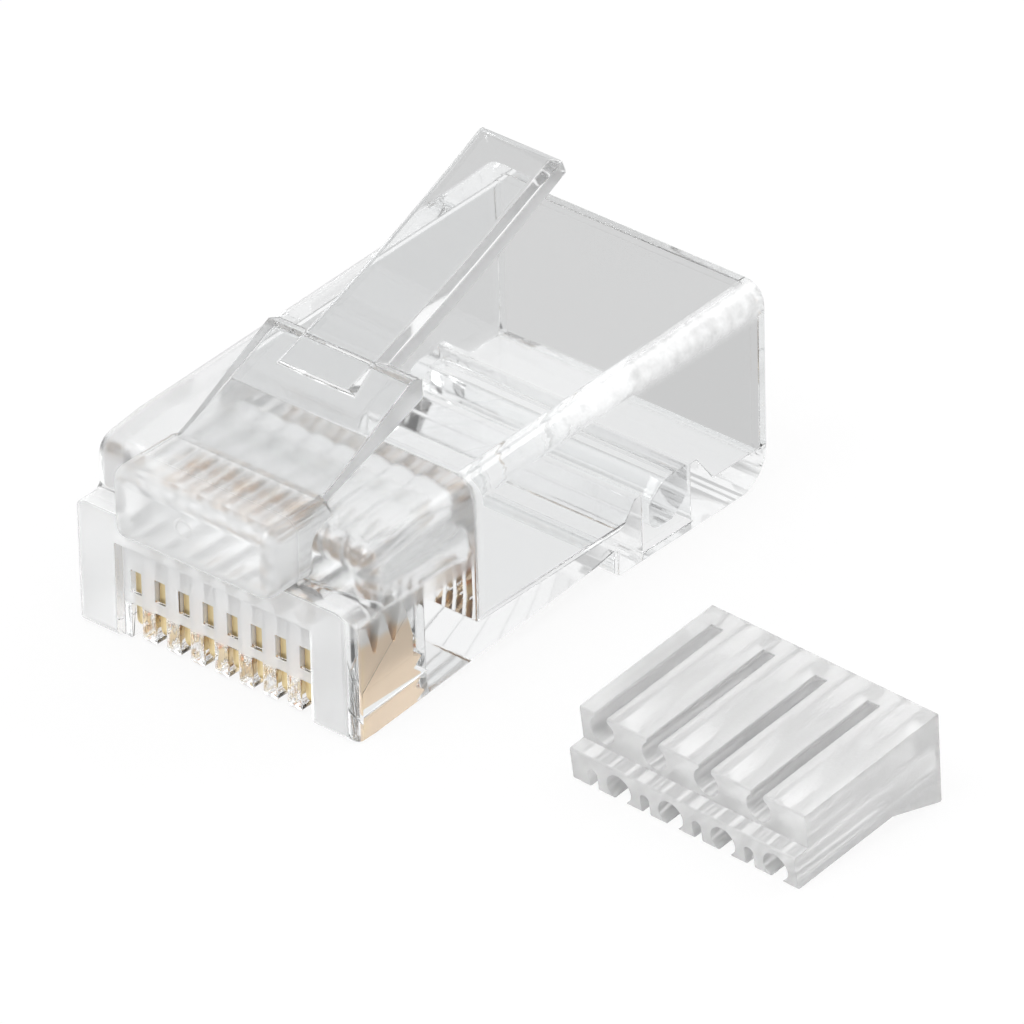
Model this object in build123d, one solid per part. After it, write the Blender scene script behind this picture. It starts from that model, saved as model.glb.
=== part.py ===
"""Clear modular plug for eight-wire data cable, with its wire guide lying beside it.

X runs across the plug, Y from the nose towards the cable, and Z from the contact side up to the
latch side. The origin is on the centre line, at the front plane of the nose posts, on the
surface that the plug lies on. All sizes are in millimetres.
"""

from build123d import *
import math
import os

# Moulded body
body_width = 11.8
body_length = 20.2
rear_top_z = 7.42
crease_y = 3.1
crease_z = 6.78
nose_drop = 0.28
side_edge_radius = 0.75
rear_bottom_radius = 1.35

# Nose: two posts, a ledge behind their front plane, and the step up to the top face
ledge_z = 4.75
ledge_depth = 0.95
ledge_root_radius = 0.12
nose_radius = 0.85
post_width = 1.8
post_corner_radius = 0.45
post_foot_radius = 0.4
brow_height = 1.15

# Contact side: it rises behind the contacts and steps down to the rear section
foot_flat_length = 1.0
belly_z = 0.93
rear_section_lead = 1.55

# Wire channels under the ledge
channel_radius = 0.53
channel_roof = 0.22
channel_front_y = 0.75
channel_plain_length = 1.95
funnel_depth = 0.5
funnel_radius = 0.68

# Contacts, pressed part of the way in, and the slots that hold them
contact_count = 8
contact_pitch = 1.02
contact_thickness = 0.35
contact_length = 3.35
contact_front_y = 0.55
contact_bottom_z = 0.27
contact_corner_radius = 0.45
crimp_travel = 0.5
tip_headroom = 0.2
tine_count = 3
tine_pitch = 0.91
tine_height = 1.4
shoulder_drop = 0.55
tine_tip_width = 0.12
tine_valley_radius = 0.06
barb_length = 0.4
barb_height = 0.335
barb_slope_height = 0.15
barb_radius = 0.04
slot_clearance = 0.035
slot_end_gap = 0.15
slot_head_gap = 0.1

# Ribs between the contact slots, with a tie bar and a lintel across the slots at the front
rib_set_back = 0.36
rib_foot_radius = 0.26
face_thickness = 0.14
mouth_height = 1.3
tie_bar_height = 0.45
window_height = 0.8

# Cavity for the wire guide and the cable
wall = 0.8
roof = 0.75
floor_z = 1.25
rear_floor_z = 1.1
pocket_corner_radius = 0.1
inner_corner_radius = 0.35

# Cable clamp: a pit through the contact side, with a bar that swings up into the cavity
pit_length = 2.45
pit_rear_margin = 3.4
hump_z = 2.15
hump_front_run = 0.7
hump_rear_run = 0.8
hump_land = 0.3
clamp_gap = 0.05
clamp_side_gap = 0.1
clamp_tip_gap = 0.5
clamp_thickness = 1.15
clamp_bottom_z = 0.45
clamp_edge_radius = 0.3
clamp_tip_radius = 0.55
clamp_heel_radius = 0.1

# Latch: a root block in front of the nose, then a wide plate, then a narrow tab
root_width = 6.9
root_reach = 0.9
root_rise = 0.42
root_drop = 0.05
root_corner_radius = 0.575
root_top_radius = 0.55
root_bottom_radius = 0.2
hinge_y = 2.0
hinge_thickness = 0.45
plate_width = 6.06
plate_lead_length = 0.56
plate_lead_rise = 0.22
plate_length = 4.3
plate_angle = 26.8
shoulder_bevel = 0.5
shoulder_bevel_drop = 0.2
shoulder_height = 0.95
shoulder_radius = 0.1
tab_width = 3.4
tab_thickness = 0.85
tab_start = 2.85
tab_step = 0.28
tab_length = 10.87
tab_angle = 21.7
tab_sag = 0.18
tab_edge_bevel = 0.28

# Wire guide: two staggered tiers of four wire channels, with a wedge under the rear edge
guide_side_gap = 0.35
guide_length = 6.6
guide_thickness = 2.5
guide_wedge_depth = 0.85
guide_wedge_length = 2.2
guide_rear_lean = 0.3
guide_tier_z = 1.25
guide_tier_step = 0.65
guide_toe_radius = 0.12
guide_edge_radius = 0.08
guide_pitch = 1.1
guide_channel_radius = 0.5
guide_lower_z = 0.5
guide_upper_z = 1.9
guide_slot_width = 0.5
guide_slot_end = 0.5
guide_gap_width = 0.36
guide_gap_height = 0.75
guide_gap_length = 1.6
guide_gap_radius = 0.16

# Where the guide lies: its upper left rear corner, and how far it is turned
guide_corner_x = 12.7
guide_corner_y = 9.85
guide_turn = -2.6

half_width = body_width / 2
nose_top_z = crease_z - nose_drop
root_top_z = crease_z + root_rise
root_bottom_z = ledge_z - root_drop
cavity_half = half_width - wall
post_inner_x = half_width - post_width
top_slope = (rear_top_z - crease_z) / (body_length - crease_y)

channel_z = ledge_z - channel_roof - channel_radius
tine_tip_z = channel_z - tip_headroom - crimp_travel
tine_root_z = tine_tip_z - tine_height
slot_top_z = tine_tip_z + slot_head_gap
slot_half = contact_thickness / 2 + slot_clearance
contact_rear_y = contact_front_y + contact_length
slot_rear_y = contact_rear_y + barb_length + slot_end_gap
pocket_front_y = slot_rear_y + channel_plain_length

pit_rear_y = body_length - pit_rear_margin
pit_front_y = pit_rear_y - pit_length
rear_section_y = pit_front_y - rear_section_lead
guide_width = 2 * (cavity_half - guide_side_gap)

# How far a cutting shape runs past the faces that it cuts, and how near an edge lies to a plane
overrun = 1.0
near = 0.01


def block(x_low, x_high, y_low, y_high, z_low, z_high):
    """A plain block between six planes."""
    size = (x_high - x_low, y_high - y_low, z_high - z_low)
    centre = ((x_low + x_high) / 2, (y_low + y_high) / 2, (z_low + z_high) / 2)
    return Pos(*centre) * Box(*size)


def across(outline, radii, half_span):
    """A side outline of (y, z) corners, rounded by radii and carried half_span each way in X."""
    path = FilletPolyline(*[(0, y, z) for y, z in outline], radius=radii, close=True)
    return extrude(make_face(path.edges()), amount=half_span, dir=(1, 0, 0), both=True)


def along(outline, radii, y_low, y_high):
    """A front outline of (x, z) corners, rounded by radii and carried from y_low to y_high."""
    path = FilletPolyline(*[(x, y_low, z) for x, z in outline], radius=radii, close=True)
    return extrude(make_face(path.edges()), amount=y_high - y_low, dir=(0, 1, 0))


def rod_along(x, z, radius, y_low, y_high):
    """A round rod along Y."""
    rod = Cylinder(radius, y_high - y_low)
    return Pos(x, (y_low + y_high) / 2, z) * Rot(90, 0, 0) * rod


def on_sides(edge, half):
    """Whether an edge lies on one of the two planes half away from the centre plane."""
    return abs(abs(edge.center().X) - half) < near


def contact_x(index):
    """The X position of one contact."""
    return (index - (contact_count - 1) / 2) * contact_pitch


def top_z(y):
    """The height of the plain top face behind the crease."""
    return crease_z + (y - crease_y) * top_slope


def belly_slope_z(y):
    """The height of the contact side, which rises from the foot to the rear section."""
    return belly_z * (y - foot_flat_length) / (rear_section_y - foot_flat_length)


def outer_body():
    """The moulding's outside: nose, ledge, long top face and stepped contact side."""
    outline = [
        (0, 0),
        (0, ledge_z),
        (ledge_depth, ledge_z),
        (ledge_depth, nose_top_z),
        (crease_y, crease_z),
        (body_length, rear_top_z),
        (body_length, 0),
        (rear_section_y, 0),
        (rear_section_y, belly_z),
        (foot_flat_length, 0),
    ]
    radii = [post_foot_radius, 0, ledge_root_radius, nose_radius, 0, 0, rear_bottom_radius, 0, 0, 0]
    body = across(outline, radii, half_width)
    long_edges = [
        edge
        for edge in body.edges()
        if on_sides(edge, half_width)
        and edge.center().Z > ledge_z + ledge_root_radius
        and edge.center().Y < body_length - near
    ]
    return fillet(long_edges, side_edge_radius) & plan()


def plan():
    """The body seen from above, with its two front corners rounded, as a tall prism."""
    corners = [
        (-half_width, 0, 0),
        (half_width, 0, 0),
        (half_width, body_length, 0),
        (-half_width, body_length, 0),
    ]
    path = FilletPolyline(*corners, radius=[post_corner_radius, post_corner_radius, 0, 0], close=True)
    return extrude(make_face(path.edges()), amount=rear_top_z + overrun)


def latch_root():
    """The block in front of the nose from which the latch springs."""
    outline = [
        (-root_reach, root_bottom_z),
        (-root_reach, root_top_z),
        (hinge_y, root_top_z),
        (hinge_y, root_bottom_z),
    ]
    root = across(outline, [root_bottom_radius, root_top_radius, 0, 0], root_width / 2)
    corners = [
        edge
        for edge in root.edges()
        if on_sides(edge, root_width / 2) and edge.center().Y < near - root_reach
    ]
    return fillet(corners, root_corner_radius)


def contact_bay():
    """The space of the contact slots and their openings at the front, before the ribs go back in."""
    slots_half = contact_x(contact_count - 1) + slot_half
    brow_z = ledge_z - brow_height
    face_rear_y = rib_set_back + face_thickness
    window_z = mouth_height + tie_bar_height
    bay = block(-slots_half, slots_half, face_rear_y, slot_rear_y, -overrun, slot_top_z)
    bay += block(-slots_half, slots_half, -overrun, slot_rear_y, -overrun, mouth_height)
    bay += block(-slots_half, slots_half, -overrun, slot_rear_y, window_z, window_z + window_height)
    return bay + block(-post_inner_x, post_inner_x, -overrun, rib_set_back, -overrun, brow_z)


def rib(index):
    """The rounded rib between one contact slot and the next."""
    centre = contact_x(index) + contact_pitch / 2
    half = contact_pitch / 2 - slot_half
    front = [
        (centre - half, 0),
        (centre - half, slot_top_z),
        (centre + half, slot_top_z),
        (centre + half, 0),
    ]
    plate = along(front, [rib_foot_radius, 0, 0, rib_foot_radius], rib_set_back, slot_rear_y)
    side = [
        (rib_set_back, 0),
        (rib_set_back, slot_top_z),
        (slot_rear_y, slot_top_z),
        (slot_rear_y, belly_slope_z(slot_rear_y)),
        (foot_flat_length, 0),
    ]
    return plate & across(side, [rib_foot_radius, 0, 0, 0, 0], half_width)


def wire_channel(index):
    """One round wire channel, with its slot down to the contact and a funnel at its mouth."""
    x = contact_x(index)
    channel = rod_along(x, channel_z, channel_radius, channel_front_y, pocket_front_y + overrun)
    slot = block(
        x - slot_half, x + slot_half, channel_front_y, slot_rear_y, tine_root_z, channel_z
    )
    funnel = Cone(funnel_radius, channel_radius, funnel_depth)
    mouth = Pos(x, pocket_front_y - funnel_depth / 2, channel_z) * Rot(90, 0, 0) * funnel
    return channel + slot + mouth


def cavity():
    """The open space from the wire channels to the cable entry."""
    end_y = body_length + overrun
    outline = [
        (pocket_front_y, floor_z),
        (pocket_front_y, top_z(pocket_front_y) - roof),
        (end_y, top_z(end_y) - roof),
        (end_y, rear_floor_z),
        (pit_rear_y + hump_land + hump_rear_run, rear_floor_z),
        (pit_rear_y + hump_land, hump_z),
        (pit_front_y - hump_land, hump_z),
        (pit_front_y - hump_land - hump_front_run, floor_z),
    ]
    space = across(outline, [pocket_corner_radius, pocket_corner_radius, 0, 0, 0, 0, 0, 0], cavity_half)
    upper_edges = [
        edge
        for edge in space.edges()
        if on_sides(edge, cavity_half)
        and edge.length > body_length / 2
        and edge.center().Z > hump_z
    ]
    return fillet(upper_edges, inner_corner_radius)


def housing():
    """The clear moulding, in one piece with its latch root."""
    body = outer_body() + latch_root()
    body -= cavity()
    body -= contact_bay()
    for index in range(contact_count - 1):
        body += rib(index)
    for index in range(contact_count):
        body -= wire_channel(index)
    body -= block(-cavity_half, cavity_half, pit_front_y, pit_rear_y, -overrun, hump_z + overrun)
    return body


def contact(index):
    """One stamped gold-plated blade: a plate on edge with three tines and a barbed heel."""
    outline = [(contact_front_y, contact_bottom_z), (contact_front_y, tine_tip_z - shoulder_drop)]
    radii = [contact_corner_radius, 0]
    for tine in range(tine_count):
        rear = contact_rear_y - (tine_count - tine - 1) * tine_pitch
        tip = rear - tine_pitch / 2
        if tine > 0:
            outline.append((rear - tine_pitch, tine_root_z))
            radii.append(tine_valley_radius)
        outline.append((tip - tine_tip_width / 2, tine_tip_z))
        outline.append((tip + tine_tip_width / 2, tine_tip_z))
        radii += [0, 0]
    upper_barb_z = contact_bottom_z + 2 * barb_height
    outline += [
        (contact_rear_y, tine_root_z),
        (contact_rear_y, upper_barb_z + barb_slope_height),
        (contact_rear_y + barb_length, upper_barb_z),
        (contact_rear_y, contact_bottom_z + barb_height),
        (contact_rear_y + barb_length, contact_bottom_z),
    ]
    radii += [0, 0, barb_radius, barb_radius, barb_radius]
    return Pos(contact_x(index), 0, 0) * across(outline, radii, contact_thickness / 2)


def latch_lever():
    """The springy arm: a sloping plate with two shoulders, and the tab that a finger presses."""
    angle = math.radians(plate_angle)
    lead_y = hinge_y + plate_lead_length
    lead_z = root_top_z + plate_lead_rise
    rear_y = lead_y + plate_length * math.cos(angle)
    rear_z = lead_z + plate_length * math.sin(angle)
    plate_outline = [
        (hinge_y, root_top_z - hinge_thickness),
        (hinge_y, root_top_z),
        (lead_y, lead_z),
        (rear_y, rear_z),
        (rear_y + shoulder_bevel, rear_z - shoulder_bevel_drop),
        (rear_y + shoulder_bevel, rear_z - shoulder_height),
    ]
    plate = across(plate_outline, [0, 0, 0, 0, shoulder_radius, shoulder_radius], plate_width / 2)
    tab_front_y = lead_y + tab_start * math.cos(angle)
    tab_front_z = lead_z + tab_start * math.sin(angle) + tab_step
    return plate + latch_tab(tab_front_y, tab_front_z)


def latch_tab(front_y, front_z):
    """The narrow tab, gently curved along its length, with bevelled top edges."""
    angle = math.radians(tab_angle)
    forward = Vector(0, math.cos(angle), math.sin(angle))
    down = Vector(0, math.sin(angle), -math.cos(angle))
    front_top = Vector(0, front_y, front_z)
    tip_top = front_top + forward * tab_length
    middle = (front_top + tip_top) * 0.5 + down * tab_sag
    front_low = front_top + down * tab_thickness
    tip_low = tip_top + down * tab_thickness
    middle_low = middle + down * tab_thickness
    side = [
        ThreePointArc(front_top, middle, tip_top),
        Line(tip_top, tip_low),
        ThreePointArc(tip_low, middle_low, front_low),
        Line(front_low, front_top),
    ]
    tab = extrude(make_face(side), amount=tab_width / 2, dir=(1, 0, 0), both=True)
    mid_height = (middle + down * (tab_thickness / 2)).Z
    top_edges = []
    for edge in tab.edges():
        centre = edge.center()
        is_tip = centre.Z > tip_top.Z - near
        is_long_top = edge.length > tab_length - near and centre.Z > mid_height
        if is_tip or is_long_top:
            top_edges.append(edge)
    return chamfer(top_edges, tab_edge_bevel)


def cable_clamp():
    """The bar across the pit. It hangs from its rear upper edge and swings up on to the cable."""
    rear = pit_rear_y - clamp_gap
    front = pit_front_y + clamp_tip_gap
    outline = [
        (rear, hump_z - clamp_thickness),
        (rear, hump_z),
        (rear - clamp_thickness, hump_z),
        (front, clamp_bottom_z + clamp_thickness),
        (front, clamp_bottom_z),
        (front + clamp_thickness, clamp_bottom_z),
    ]
    radii = [
        clamp_edge_radius,
        clamp_heel_radius,
        clamp_edge_radius,
        clamp_edge_radius,
        clamp_tip_radius,
        clamp_edge_radius,
    ]
    return across(outline, radii, cavity_half - clamp_side_gap)


def guide_channel_x(row, index):
    """The X position of one wire channel of the guide. Row 0 is the upper tier."""
    first = row - (contact_count - 1) / 2
    return (first + 2 * index) * guide_pitch


def guide_gap(x):
    """A short gap between two prongs of the lower tier, rounded at its top."""
    half = guide_gap_width / 2
    outline = [
        (x - half, -overrun),
        (x - half, guide_gap_height),
        (x + half, guide_gap_height),
        (x + half, -overrun),
    ]
    return along(outline, [0, guide_gap_radius, guide_gap_radius, 0], -overrun, guide_gap_length)


def guide_form():
    """The guide's outside in its own frame, front edge at Y 0 and flat underside at Z 0."""
    outline = [
        (0, 0),
        (0, guide_tier_z),
        (guide_tier_step, guide_tier_z),
        (guide_tier_step, guide_thickness),
        (guide_length + guide_rear_lean, guide_thickness),
        (guide_length, -guide_wedge_depth),
        (guide_length - guide_wedge_length, 0),
    ]
    edge = guide_edge_radius
    return across(outline, [guide_toe_radius, edge, 0, edge, edge, edge, 0], guide_width / 2)


def wire_guide():
    """The loose guide that holds the wires in two staggered rows, as it lies on a table."""
    guide = guide_form()
    half_slot = guide_slot_width / 2
    through = guide_length + overrun
    above = guide_thickness + overrun
    upper_end = guide_length - guide_slot_end
    lower_end = guide_length - guide_wedge_length
    for index in range(contact_count // 2):
        upper = guide_channel_x(0, index)
        lower = guide_channel_x(1, index)
        guide -= rod_along(upper, guide_upper_z, guide_channel_radius, -overrun, through)
        guide -= rod_along(lower, guide_lower_z, guide_channel_radius, -overrun, through)
        guide -= block(upper - half_slot, upper + half_slot, -overrun, upper_end, guide_upper_z, above)
        guide -= block(lower - half_slot, lower + half_slot, -overrun, lower_end, -overrun, guide_lower_z)
        guide -= guide_gap(upper)
    tilt = math.degrees(math.atan2(guide_wedge_depth, guide_length))
    guide = Rot(0, 0, guide_turn) * Rot(tilt, 0, 0) * guide
    guide = Pos(0, 0, -guide.bounding_box().min.Z) * guide
    turn = math.radians(guide_turn)
    half = guide_width / 2
    rear = guide_length + guide_rear_lean
    place_x = guide_corner_x + half * math.cos(turn) + rear * math.sin(turn)
    place_y = guide_corner_y + half * math.sin(turn) - rear * math.cos(turn)
    return Pos(place_x, place_y, 0) * guide


def write(name, solid):
    """Writes one piece to its own file."""
    solid.label = name
    export_step(solid, f"parts/{name}.step")
    print(name, solid.is_valid, len(solid.solids()), round(solid.volume, 2))


os.makedirs("parts", exist_ok=True)
write("housing", housing())
write("latch_lever", latch_lever())
write("cable_clamp", cable_clamp())
for index in range(contact_count):
    write(f"contact_{index + 1}", contact(index))
write("wire_guide", wire_guide())
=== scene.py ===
import math

import bpy
from mathutils import Matrix, Vector


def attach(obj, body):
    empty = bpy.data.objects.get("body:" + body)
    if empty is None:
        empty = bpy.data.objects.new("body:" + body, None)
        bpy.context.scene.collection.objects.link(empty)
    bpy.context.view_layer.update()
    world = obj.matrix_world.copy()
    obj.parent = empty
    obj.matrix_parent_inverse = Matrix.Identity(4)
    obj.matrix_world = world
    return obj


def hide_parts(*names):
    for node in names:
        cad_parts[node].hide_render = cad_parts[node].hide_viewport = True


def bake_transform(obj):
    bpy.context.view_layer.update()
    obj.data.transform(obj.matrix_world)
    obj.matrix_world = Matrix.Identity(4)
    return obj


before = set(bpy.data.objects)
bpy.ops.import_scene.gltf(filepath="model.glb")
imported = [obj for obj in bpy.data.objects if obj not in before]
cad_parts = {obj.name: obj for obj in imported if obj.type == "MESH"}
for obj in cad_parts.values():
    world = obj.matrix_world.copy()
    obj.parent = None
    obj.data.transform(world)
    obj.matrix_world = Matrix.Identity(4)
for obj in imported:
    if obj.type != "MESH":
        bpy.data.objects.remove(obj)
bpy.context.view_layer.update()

# Camera: a long lens far off, over the nose's right corner and rolled a little, as in the
# photograph.
camera_aim = Vector((0.00296, 0.01105, 0.00214))
camera_distance = 0.4588
camera_azimuth = math.radians(41.42)
camera_elevation = math.radians(32.17)
camera_roll = math.radians(-1.38)
camera_lens = 505.8

back = Vector((
    math.sin(camera_azimuth) * math.cos(camera_elevation),
    -math.cos(camera_azimuth) * math.cos(camera_elevation),
    math.sin(camera_elevation),
))
level = Vector((math.cos(camera_azimuth), math.sin(camera_azimuth), 0))
upright = back.cross(level)
right = level * math.cos(camera_roll) + upright * math.sin(camera_roll)
top = upright * math.cos(camera_roll) - level * math.sin(camera_roll)
bpy.ops.object.camera_add(location=camera_aim + back * camera_distance)
camera = bpy.context.object
camera.rotation_euler = Matrix((right, top, back)).transposed().to_euler()
camera.data.lens = camera_lens
camera.data.clip_start = 0.05
bpy.context.scene.camera = camera
bpy.context.scene.view_settings.view_transform = "Standard"

# Table and light: a white table top in a white room, a large soft lamp over the nose and a weaker
# one behind. Light runs to and fro inside clear plastic, so it is followed through many turns.
light_turns = 20
room_light = 0.95
table_size = 1.2
table_drop = 0.00002
table_grey = 0.84
# The three levels below paint shade on the table where it is seen through plastic or in a gloss, and paint
# pools of light right under the housing and the guide.
painted_shade_in_glass = 0.62
painted_light_under_plug = 0.9
painted_light_under_guide = 1.0
table_share_seen = 0.9
# How far a painted pool of light fades out beyond its piece.
painted_pool_reach = 0.0015
lamp_size = 0.35
lamp_distance = 0.9
# Each lamp's azimuth and elevation in degrees, and its power in watts.
lamp_places = {"key_lamp": (-12, 62, 2.6), "rear_lamp": (165, 48, 1.2)}


class Signal:
    """One value of a shader. Arithmetic on it adds the maths nodes."""

    def __init__(self, tree, socket=None):
        self.tree = tree
        self.socket = socket

    def add(self, kind, settings=(), inputs=(), output=0):
        """Adds one node: its settings first, then the values or links of its sockets."""
        node = self.tree.nodes.new(kind)
        for name, value in dict(settings).items():
            setattr(node, name, value)
        for name, value in dict(inputs).items():
            if isinstance(value, Signal):
                self.tree.links.new(value.socket, node.inputs[name])
            else:
                node.inputs[name].default_value = value
        return Signal(self.tree, node.outputs[output] if node.outputs else None)

    def maths(self, operation, first, second):
        return self.add("ShaderNodeMath", {"operation": operation}, {0: first, 1: second})

    def __add__(self, other):
        return self.maths("ADD", self, other)

    def __sub__(self, other):
        return self.maths("SUBTRACT", self, other)

    def __rsub__(self, other):
        return self.maths("SUBTRACT", other, self)

    def __mul__(self, other):
        return self.maths("MULTIPLY", self, other)

    def __abs__(self):
        return self.maths("ABSOLUTE", self, 0)

    __radd__ = __add__
    __rmul__ = __mul__

    def ramp(self, low, high):
        """A soft step from 0 at low to 1 at high."""
        limits = {"Value": self, "From Min": low, "From Max": high}
        return self.add("ShaderNodeMapRange", {"interpolation_type": "SMOOTHSTEP"}, limits)


def new_material(name):
    """An empty material and the signal that its nodes are added through."""
    material = bpy.data.materials.new(name)
    material.use_nodes = True
    material.node_tree.nodes.clear()
    return material, Signal(material.node_tree)


bpy.context.scene.cycles.max_bounces = light_turns
bpy.context.scene.cycles.transmission_bounces = light_turns
bpy.context.scene.cycles.glossy_bounces = light_turns

world = bpy.data.worlds.new("white_room")
bpy.context.scene.world = world
world.use_nodes = True
world.node_tree.nodes.clear()
room = Signal(world.node_tree)
on_matt = room.add("ShaderNodeLightPath", output="Is Diffuse Ray")
strength = 1 - on_matt * (1 - room_light)
glow = room.add("ShaderNodeBackground", (), {"Color": (1, 1, 1, 1), "Strength": strength})
room.add("ShaderNodeOutputWorld", (), {"Surface": glow})


def painted_pool_mask(paper, place, node):
    """A mask on the table for a painted pool of light: 1 under a clear piece and 0 beside it."""
    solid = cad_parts[node]
    corners = [solid.matrix_world @ Vector(corner) for corner in solid.bound_box]
    mask = 1
    for axis, name in enumerate("XY"):
        low = min(corner[axis] for corner in corners)
        high = max(corner[axis] for corner in corners)
        half = (high - low) / 2
        offset = abs(paper.add("ShaderNodeSeparateXYZ", (), {"Vector": place}, name) - (low + high) / 2)
        mask = mask * (1 - offset.ramp(half, half + painted_pool_reach))
    return mask


bpy.ops.mesh.primitive_plane_add(size=table_size, location=(0, 0, -table_drop))
table = bpy.context.object
table.name = "table_top"
material, paper = new_material("white_table")
seen = paper.add("ShaderNodeLightPath", output="Is Camera Ray")
in_glass = paper.add("ShaderNodeLightPath", output="Is Transmission Ray")
in_gloss = paper.add("ShaderNodeLightPath", output="Is Glossy Ray")
through = in_glass.maths("MAXIMUM", in_glass, in_gloss)
share = seen * table_share_seen + through
lit = paper.add("ShaderNodeBsdfDiffuse", (), {"Color": (table_grey, table_grey, table_grey, 1)})
place = paper.add("ShaderNodeTexCoord", output="Object")
# The camera sees a white table. Seen through plastic or in a gloss, a painted shade dims it, and a painted
# pool of light right under a clear piece makes it less dim there than beside it.
painted_light_pool = painted_pool_mask(paper, place, "housing") * (painted_light_under_plug - painted_shade_in_glass)
painted_light_pool = painted_light_pool + painted_pool_mask(paper, place, "wire_guide") * (painted_light_under_guide - painted_shade_in_glass)
painted_shade = through * (1 - painted_shade_in_glass - painted_light_pool)
shown = paper.add("ShaderNodeMix", {"data_type": "RGBA"}, {0: painted_shade, 6: (1, 1, 1, 1), 7: (0, 0, 0, 1)}, 2)
plain = paper.add("ShaderNodeEmission", (), {"Color": shown})
mixed = paper.add("ShaderNodeMixShader", (), {0: share, 1: lit, 2: plain})
paper.add("ShaderNodeOutputMaterial", (), {"Surface": mixed})
table.data.materials.append(material)

for name, (azimuth, elevation, power) in lamp_places.items():
    azimuth = math.radians(azimuth)
    elevation = math.radians(elevation)
    towards = Vector((
        math.sin(azimuth) * math.cos(elevation),
        -math.cos(azimuth) * math.cos(elevation),
        math.sin(elevation),
    ))
    bpy.ops.object.light_add(type="AREA", location=camera_aim + towards * lamp_distance)
    lamp = bpy.context.object
    lamp.name = name
    lamp.data.size = lamp_size
    lamp.data.energy = power
    lamp.rotation_euler = towards.to_track_quat("Z", "Y").to_euler()

# Housing: the body of the plug, moulded in one piece with its latch from clear polycarbonate. The
# mould is polished, but eroded where it forms the fronts of the nose, so these look cloudy. The
# contacts are pressed into its slots, and a painted reflection of their gold lies at the foot of the slots'
# walls.
clear_tint = (0.955, 0.96, 0.962, 1)
clear_index = 1.585
skin_roughness = 0.5
polish = 0.015
polish_spread = 0.05
flow_height = 0.000012
eroded_roughness = 0.3
eroded_height = 0.000004
eroded_milk = 0.6
pit_spread = 0.2
channel_index = 1.15
wave_spread = 0.1
# The roughness, gold and orange of the painted reflections of the blades on the slots' walls.
painted_reflection_roughness = 0.3
reflected_gold_colour = (0.98, 0.82, 0.55, 1)
reflected_copper_colour = (0.98, 0.45, 0.18, 1)
# The share of white skin on the right long edge, partly rubbed wear and partly a painted highlight.
rub_and_highlight_milk = 1.1
nose_roughness = 0.18
nose_milk = 0.08
front_milk = 0.25
post_share = 0.75
slot_milk = 0.75
reflection_spot_patches = 0.45, 0.6
# Each pair is where a finish begins to change, and where it has changed.
edge_across = 0.0051, 0.0055
edge_height = 0.0061, 0.0067
edge_depth = 0.0080, 0.0120
nose_depth = 0.0058, 0.0064
nose_foot = 0.0036, 0.0040
nose_head = 0.0072, 0.0076
front_depth = 0, 0.0010
post_across = 0.0038, 0.0042
post_head = 0.0040, 0.0060
comb_foot = 0.0011, 0.0014
milk_depth = 0.0006, 0.0009
# Where the painted reflections of the blades lie on the slots' walls, and the band in which they turn
# orange.
reflection_spot_depth = 0.0006, 0.0008
reflection_spot_head = 0.0012, 0.0014
warm_foot = 0.0008, 0.0009
warm_head = 0.0011, 0.0012
# How the mesh is rounded, and the boxes in which its faces get their finishes.
mould_edge = 0.00006
sharp_turn = math.radians(30)
flat_turn = math.radians(0.5)
join_distance = 0.000001
facing = 0.9
slot_space = Vector((-0.0036, 0.00055, 0.0)), Vector((0.0036, 0.00455, 0.0034))
nose_space = Vector((-0.006, 0.0, 0.0)), Vector((0.006, 0.00055, 0.0040))
wire_space = Vector((-0.0044, 0.0006, 0.0019)), Vector((0.0044, 0.00635, 0.0047))
web_low = Vector((-0.00303, 0.0020, 0.00675))
web_high = Vector((0.00303, 0.0020, 0.0072))
gate_place = Vector((-0.00026, -0.0009, 0.00606))
gate_radius = 0.00032
gate_share = 1.5


def lies_within(point, low, high):
    """Whether a point lies in a box, its faces taken in."""
    return all(low[i] - join_distance <= point[i] <= high[i] + join_distance for i in range(3))


def cut_web_out(piece):
    """Cuts the outline of the hinge web into the face that it springs from."""
    for place, normal in ((web_low, (1, 0, 0)), (web_high, (1, 0, 0)), (web_low, (0, 0, 1))):
        points = piece.data.vertices
        for face in piece.data.polygons:
            offsets = [abs(points[index].co.y - web_low.y) for index in face.vertices]
            face.select = max(offsets) < join_distance
        bpy.ops.object.mode_set(mode="EDIT")
        bpy.ops.mesh.bisect(plane_co=place, plane_no=normal)
        bpy.ops.mesh.select_all(action="DESELECT")
        bpy.ops.object.mode_set(mode="OBJECT")


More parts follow.
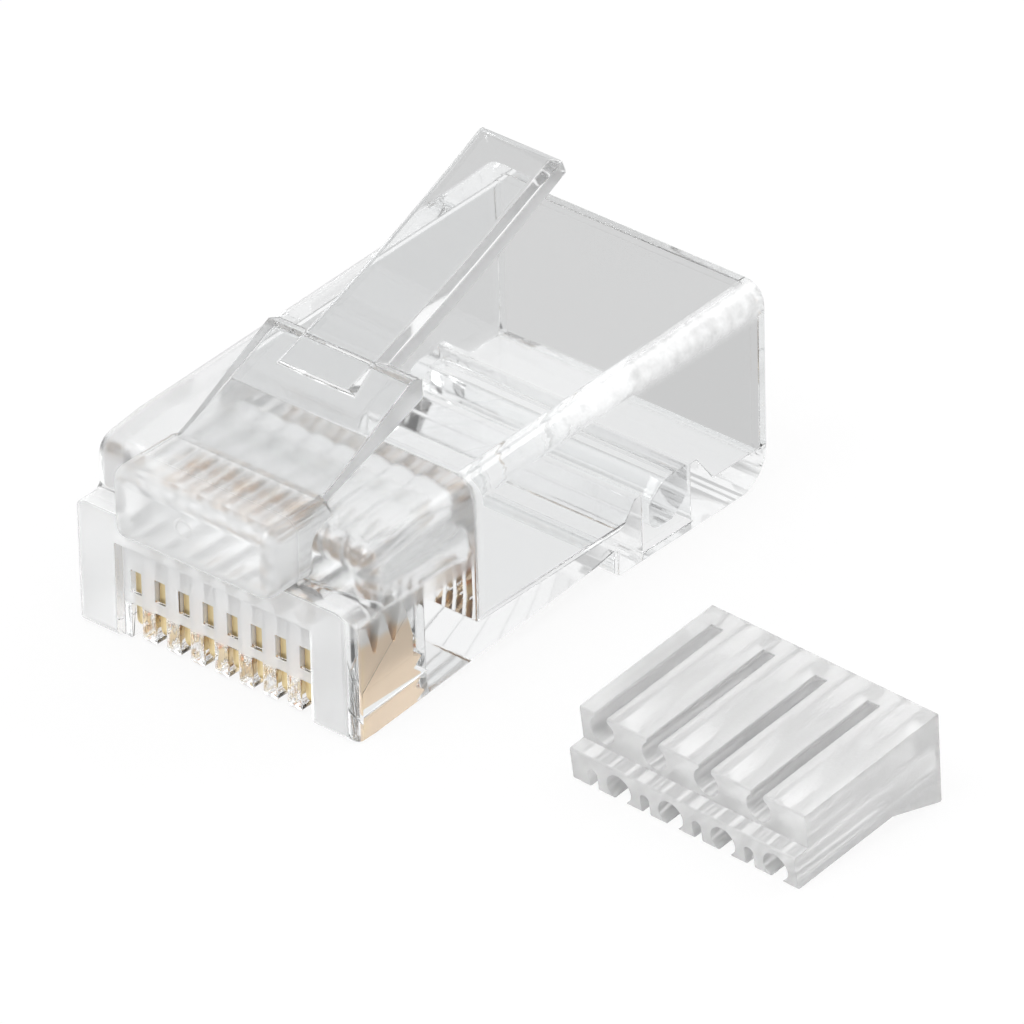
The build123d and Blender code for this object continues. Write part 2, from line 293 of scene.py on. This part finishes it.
def moulded_copy(node, name, edge_radius=mould_edge):
    """A copy of a CAD solid: flat faces made whole and sharp edges rounded, but not at the web."""
    bpy.ops.object.select_all(action="DESELECT")
    piece = bpy.data.objects.new(name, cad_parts[node].data.copy())
    bpy.context.scene.collection.objects.link(piece)
    bpy.context.view_layer.objects.active = piece
    piece.select_set(True)
    bpy.ops.object.mode_set(mode="EDIT")
    bpy.ops.mesh.select_all(action="SELECT")
    bpy.ops.mesh.customdata_custom_splitnormals_clear()
    bpy.ops.mesh.remove_doubles(threshold=join_distance)
    bpy.ops.mesh.dissolve_limited(angle_limit=flat_turn)
    bpy.ops.mesh.select_mode(type="FACE")
    bpy.ops.mesh.select_all(action="DESELECT")
    bpy.ops.object.mode_set(mode="OBJECT")
    cut_web_out(piece)
    bpy.ops.object.mode_set(mode="EDIT")
    bpy.ops.mesh.select_mode(type="EDGE")
    bpy.ops.mesh.select_all(action="DESELECT")
    bpy.ops.mesh.edges_select_sharp(sharpness=sharp_turn)
    bpy.ops.object.mode_set(mode="OBJECT")
    points = piece.data.vertices
    weights = []
    for edge in piece.data.edges:
        at_web = all(lies_within(points[index].co, web_low, web_high) for index in edge.vertices)
        weights.append(float(edge.select and not at_web))
    piece.data.attributes.new("bevel_weight_edge", "FLOAT", "EDGE").data.foreach_set("value", weights)
    bevel = piece.modifiers.new("rounding", "BEVEL")
    bevel.width = edge_radius
    bevel.segments = 2
    bevel.limit_method = "WEIGHT"
    bevel.use_clamp_overlap = False
    bpy.ops.object.modifier_apply(modifier=bevel.name)
    bpy.ops.object.shade_smooth_by_angle(angle=sharp_turn)
    weigh = piece.modifiers.new("flat_faces", "WEIGHTED_NORMAL")
    weigh.keep_sharp = True
    weigh.weight = 100
    bpy.ops.object.modifier_apply(modifier=weigh.name)
    piece.data.materials.clear()
    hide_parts(node)
    return piece


def clear_surface(plastic, roughness, height, distance, index=clear_index):
    """Clear polycarbonate with a roughness and a relief that change over the surface."""
    normal = plastic.add("ShaderNodeBump", (), {"Distance": distance, "Height": height})
    return plastic.add("ShaderNodeBsdfPrincipled", (), {
        "Base Color": clear_tint,
        "Roughness": roughness,
        "IOR": index,
        "Transmission Weight": 1,
        "Normal": normal,
    })


def clouded(plastic, share, body):
    """A surface of which a share scatters the light, as the skin over an eroded mould does."""
    skin = plastic.add("ShaderNodeBsdfPrincipled", (), {
        "Base Color": clear_tint,
        "Roughness": skin_roughness,
        "IOR": clear_index,
    })
    return plastic.add("ShaderNodeMixShader", (), {0: share, 1: body, 2: skin})


def polished_clear(plastic):
    """The polished outside: slow flow waves, a gate mark, a speckled white skin on one long edge that is
    partly rubbed wear and partly a painted highlight, and a hazy nose.
    """
    place = plastic.add("ShaderNodeTexCoord", output="Object")
    flow = plastic.add("ShaderNodeTexNoise", (), {"Vector": place, "Scale": 260, "Detail": 0})
    rub_and_sheen = plastic.add("ShaderNodeTexNoise", (), {"Vector": place, "Scale": 1900, "Detail": 2})
    across = plastic.add("ShaderNodeSeparateXYZ", (), {"Vector": place}, "X")
    depth = plastic.add("ShaderNodeSeparateXYZ", (), {"Vector": place}, "Y")
    height = plastic.add("ShaderNodeSeparateXYZ", (), {"Vector": place}, "Z")
    # A speckled white skin along the right long edge, partly rubbed wear and partly a painted highlight.
    edge = across.ramp(*edge_across) * height.ramp(*edge_height) * depth.ramp(*edge_depth)
    nose = (1 - depth.ramp(*nose_depth)) * height.ramp(*nose_foot) * (1 - height.ramp(*nose_head))
    from_gate = plastic.add(
        "ShaderNodeVectorMath", {"operation": "DISTANCE"}, {0: place, 1: gate_place}, "Value"
    )
    gate = from_gate.ramp(gate_radius * 0.8, gate_radius)
    gate = gate * (1 - from_gate.ramp(gate_radius, gate_radius * 1.3))
    roughness = rub_and_sheen * rub_and_sheen * polish_spread + polish + nose * nose_roughness
    body = clear_surface(plastic, roughness, flow + gate * gate_share, flow_height)
    front = 1 - depth.ramp(*front_depth)
    return clouded(plastic, edge * rub_and_sheen * rub_and_highlight_milk + nose * (nose_milk + front * front_milk), body)


clear, plastic = new_material("clear_polycarbonate")
plastic.add("ShaderNodeOutputMaterial", (), {"Surface": polished_clear(plastic)})

cloudy, plastic = new_material("eroded_polycarbonate")
place = plastic.add("ShaderNodeTexCoord", output="Object")
across = plastic.add("ShaderNodeSeparateXYZ", (), {"Vector": place}, "X")
height = plastic.add("ShaderNodeSeparateXYZ", (), {"Vector": place}, "Z")
pits = plastic.add("ShaderNodeTexNoise", (), {"Vector": place, "Scale": 9000, "Detail": 3})
at_post = abs(across).ramp(*post_across)
skin = 1 - (1 - at_post) * (1 - height.ramp(*comb_foot))
roughness = (pits * pit_spread + eroded_roughness) * skin + polish
body = clear_surface(plastic, roughness, pits, eroded_height)
share = (pits * pit_spread + (eroded_milk - pit_spread / 2)) * skin * (1 - height.ramp(*post_head))
share = share * (1 - at_post * (1 - post_share))
plastic.add("ShaderNodeOutputMaterial", (), {"Surface": clouded(plastic, share, body)})

# The wire channels' walls. Their index is set far below the real one, so that they show faintly.
channel, plastic = new_material("channel_polycarbonate")
place = plastic.add("ShaderNodeTexCoord", output="Object")
waves = plastic.add("ShaderNodeTexNoise", (), {"Vector": place, "Scale": 900, "Detail": 2})
surface = clear_surface(plastic, waves * wave_spread + polish, waves, flow_height, channel_index)
plastic.add("ShaderNodeOutputMaterial", (), {"Surface": surface})

# The slots' walls, with the same low index. Painted reflections of the blades lie as gold spots at their
# feet, orange in one band of height, and the milk on their fronts whitens the windows over the tie bar.
pressed, plastic = new_material("polycarbonate_with_painted_gilt")
place = plastic.add("ShaderNodeTexCoord", output="Object")
depth = plastic.add("ShaderNodeSeparateXYZ", (), {"Vector": place}, "Y")
height = plastic.add("ShaderNodeSeparateXYZ", (), {"Vector": place}, "Z")
patches = plastic.add("ShaderNodeTexNoise", (), {"Vector": place, "Scale": 1500, "Detail": 2})
# Painted reflections: gold spots at the foot of the walls, orange in a band of height.
painted_reflection_spots = depth.ramp(*reflection_spot_depth) * (1 - height.ramp(*reflection_spot_head)) * patches.ramp(*reflection_spot_patches)
copper_reflection_band = height.ramp(*warm_foot) * (1 - height.ramp(*warm_head))
tone = plastic.add("ShaderNodeMix", {"data_type": "RGBA"}, {0: copper_reflection_band, 6: reflected_gold_colour, 7: reflected_copper_colour}, 2)
painted_gilt = plastic.add("ShaderNodeBsdfPrincipled", (), {
    "Base Color": tone,
    "Roughness": painted_reflection_roughness,
    "Metallic": 1,
})
body = clear_surface(plastic, patches * wave_spread + polish, patches, flow_height, channel_index)
wall = clouded(plastic, slot_milk * height.ramp(*reflection_spot_head) * (1 - depth.ramp(*milk_depth)), body)
surface = plastic.add("ShaderNodeMixShader", (), {0: painted_reflection_spots, 1: wall, 2: painted_gilt})
plastic.add("ShaderNodeOutputMaterial", (), {"Surface": surface})

# The section of the web lies inside the plastic, so it is not seen.
inside, plastic = new_material("plastic_runs_on")
surface = plastic.add("ShaderNodeBsdfPrincipled", (), {"Base Color": clear_tint, "Alpha": 0})
plastic.add("ShaderNodeOutputMaterial", (), {"Surface": surface})

finishes = (clear, cloudy, pressed, inside, channel)


def finish_clear(piece):
    """Gives each face of a clear moulding one of the finishes, by its place and the way it looks."""
    for material in finishes:
        piece.data.materials.append(material)
    for face in piece.data.polygons:
        sideways = abs(face.normal.x) > facing
        # The edges at the sides of the windows are cloudy too, or they show as dark lines.
        at_window = sideways and abs(face.center.x) < slot_space[1].x
        finish = clear
        if lies_within(face.center, *nose_space) and (face.normal.y < -facing or at_window):
            finish = cloudy
        elif lies_within(face.center, *slot_space) and sideways:
            finish = pressed
        elif lies_within(face.center, *wire_space):
            finish = channel
        elif lies_within(face.center, web_low, web_high) and abs(face.normal.y) > facing:
            finish = inside
        face.material_index = finishes.index(finish)


housing = moulded_copy("housing", "clear_housing")
finish_clear(housing)
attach(housing, "plug")

# Latch: the springy arm of the same moulding, with two shoulders that hold in the jack and a tab
# for the finger. It bends in the thin web in front of its plate, and its sides are cloudy.
cloudy_from = 0.0085
latch = moulded_copy("latch_lever", "clear_latch")
finish_clear(latch)
for face in latch.data.polygons:
    if abs(face.normal.x) > facing and face.center.z > cloudy_from:
        face.material_index = finishes.index(cloudy)
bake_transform(latch)

# Clamp: a bar of the same moulding that hangs in the pit of the contact side. A crimp tool swings
# it up on to the cable's jacket.
clamp = moulded_copy("cable_clamp", "clear_clamp")
finish_clear(clamp)
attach(clamp, "clamp")

# Contacts: eight blades stamped from phosphor bronze strip, barbed at the heel and with tines that
# cut into the wires. Gold is plated on their fronts alone, and the tines keep a nickel coat.
gold_colour = (1.0, 0.82, 0.48, 1)
bronze_colour = (0.94, 0.75, 0.55, 1)
nickel_colour = (0.93, 0.92, 0.90, 1)
gold_depth = 0.0012
gold_fade = 0.0008
gold_wander = 0.0006
tine_height = 0.0025
tine_fade = 0.0004
tine_wander = 0.0003
line_height = 0.0000015
line_roughness = 0.12
stain_roughness = 0.15
blade_roughness = 0.24
blade_edge = 0.00002

gold, metal = new_material("gold_on_bronze")
place = metal.add("ShaderNodeTexCoord", output="Object")
depth = metal.add("ShaderNodeSeparateXYZ", (), {"Vector": place}, "Y")
height = metal.add("ShaderNodeSeparateXYZ", (), {"Vector": place}, "Z")
rolled = metal.add("ShaderNodeMapping", (), {"Vector": place, "Scale": (1, 0.06, 1)})
lines = metal.add("ShaderNodeTexNoise", (), {"Vector": rolled, "Scale": 14000, "Detail": 2})
stains = metal.add("ShaderNodeTexNoise", (), {"Vector": place, "Scale": 1200, "Detail": 3})
thin = (depth + stains * gold_wander).ramp(gold_depth, gold_depth + gold_fade)
bare = (height + stains * tine_wander).ramp(tine_height, tine_height + tine_fade)
colour = metal.add("ShaderNodeMix", {"data_type": "RGBA"}, {0: thin, 6: gold_colour, 7: bronze_colour}, 2)
colour = metal.add("ShaderNodeMix", {"data_type": "RGBA"}, {0: bare, 6: colour, 7: nickel_colour}, 2)
normal = metal.add("ShaderNodeBump", (), {"Distance": line_height, "Height": lines})
surface = metal.add("ShaderNodeBsdfPrincipled", (), {
    "Base Color": colour,
    "Roughness": lines * line_roughness + stains * stain_roughness + blade_roughness,
    "Metallic": 1,
    "Normal": normal,
})
metal.add("ShaderNodeOutputMaterial", (), {"Surface": surface})

for number in range(1, 9):
    blade = moulded_copy(f"contact_{number}", f"gold_blade_{number}", blade_edge)
    blade.data.materials.append(gold)
    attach(blade, f"blade_{number}")

# Wire guide: a small clear moulding from an eroded mould, so it looks frosted. Eight wires are
# threaded through its two staggered rows before it is pushed into the housing.
guide_tint = (0.99, 0.99, 0.99, 1)
guide_roughness = 0.2
guide_spread = 0.2
guide_relief = 0.000008
guide_edge = 0.00003
milk_share = 0.36
milk_spread = 0.12

frosted, haze = new_material("frosted_polycarbonate")
place = haze.add("ShaderNodeTexCoord", output="Object")
pits = haze.add("ShaderNodeTexNoise", (), {"Vector": place, "Scale": 7000, "Detail": 4})
drawn = haze.add("ShaderNodeMapping", (), {"Vector": place, "Scale": (1, 0.2, 1)})
clouds = haze.add("ShaderNodeTexNoise", (), {"Vector": drawn, "Scale": 900, "Detail": 3})
normal = haze.add("ShaderNodeBump", (), {"Distance": guide_relief, "Height": pits * 0.5 + clouds * 4})
body = haze.add("ShaderNodeBsdfPrincipled", (), {
    "Base Color": guide_tint,
    "Roughness": clouds * guide_spread + (guide_roughness - guide_spread / 2),
    "IOR": clear_index,
    "Transmission Weight": 1,
    "Normal": normal,
})
milk = haze.add("ShaderNodeBsdfPrincipled", (), {
    "Base Color": guide_tint,
    "Roughness": skin_roughness,
    "IOR": clear_index,
    "Normal": normal,
})
share = clouds * milk_spread + (milk_share - milk_spread / 2)
surface = haze.add("ShaderNodeMixShader", (), {0: share, 1: body, 2: milk})
haze.add("ShaderNodeOutputMaterial", (), {"Surface": surface})

guide = moulded_copy("wire_guide", "frosted_guide", guide_edge)
guide.data.materials.append(frosted)
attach(guide, "plug")
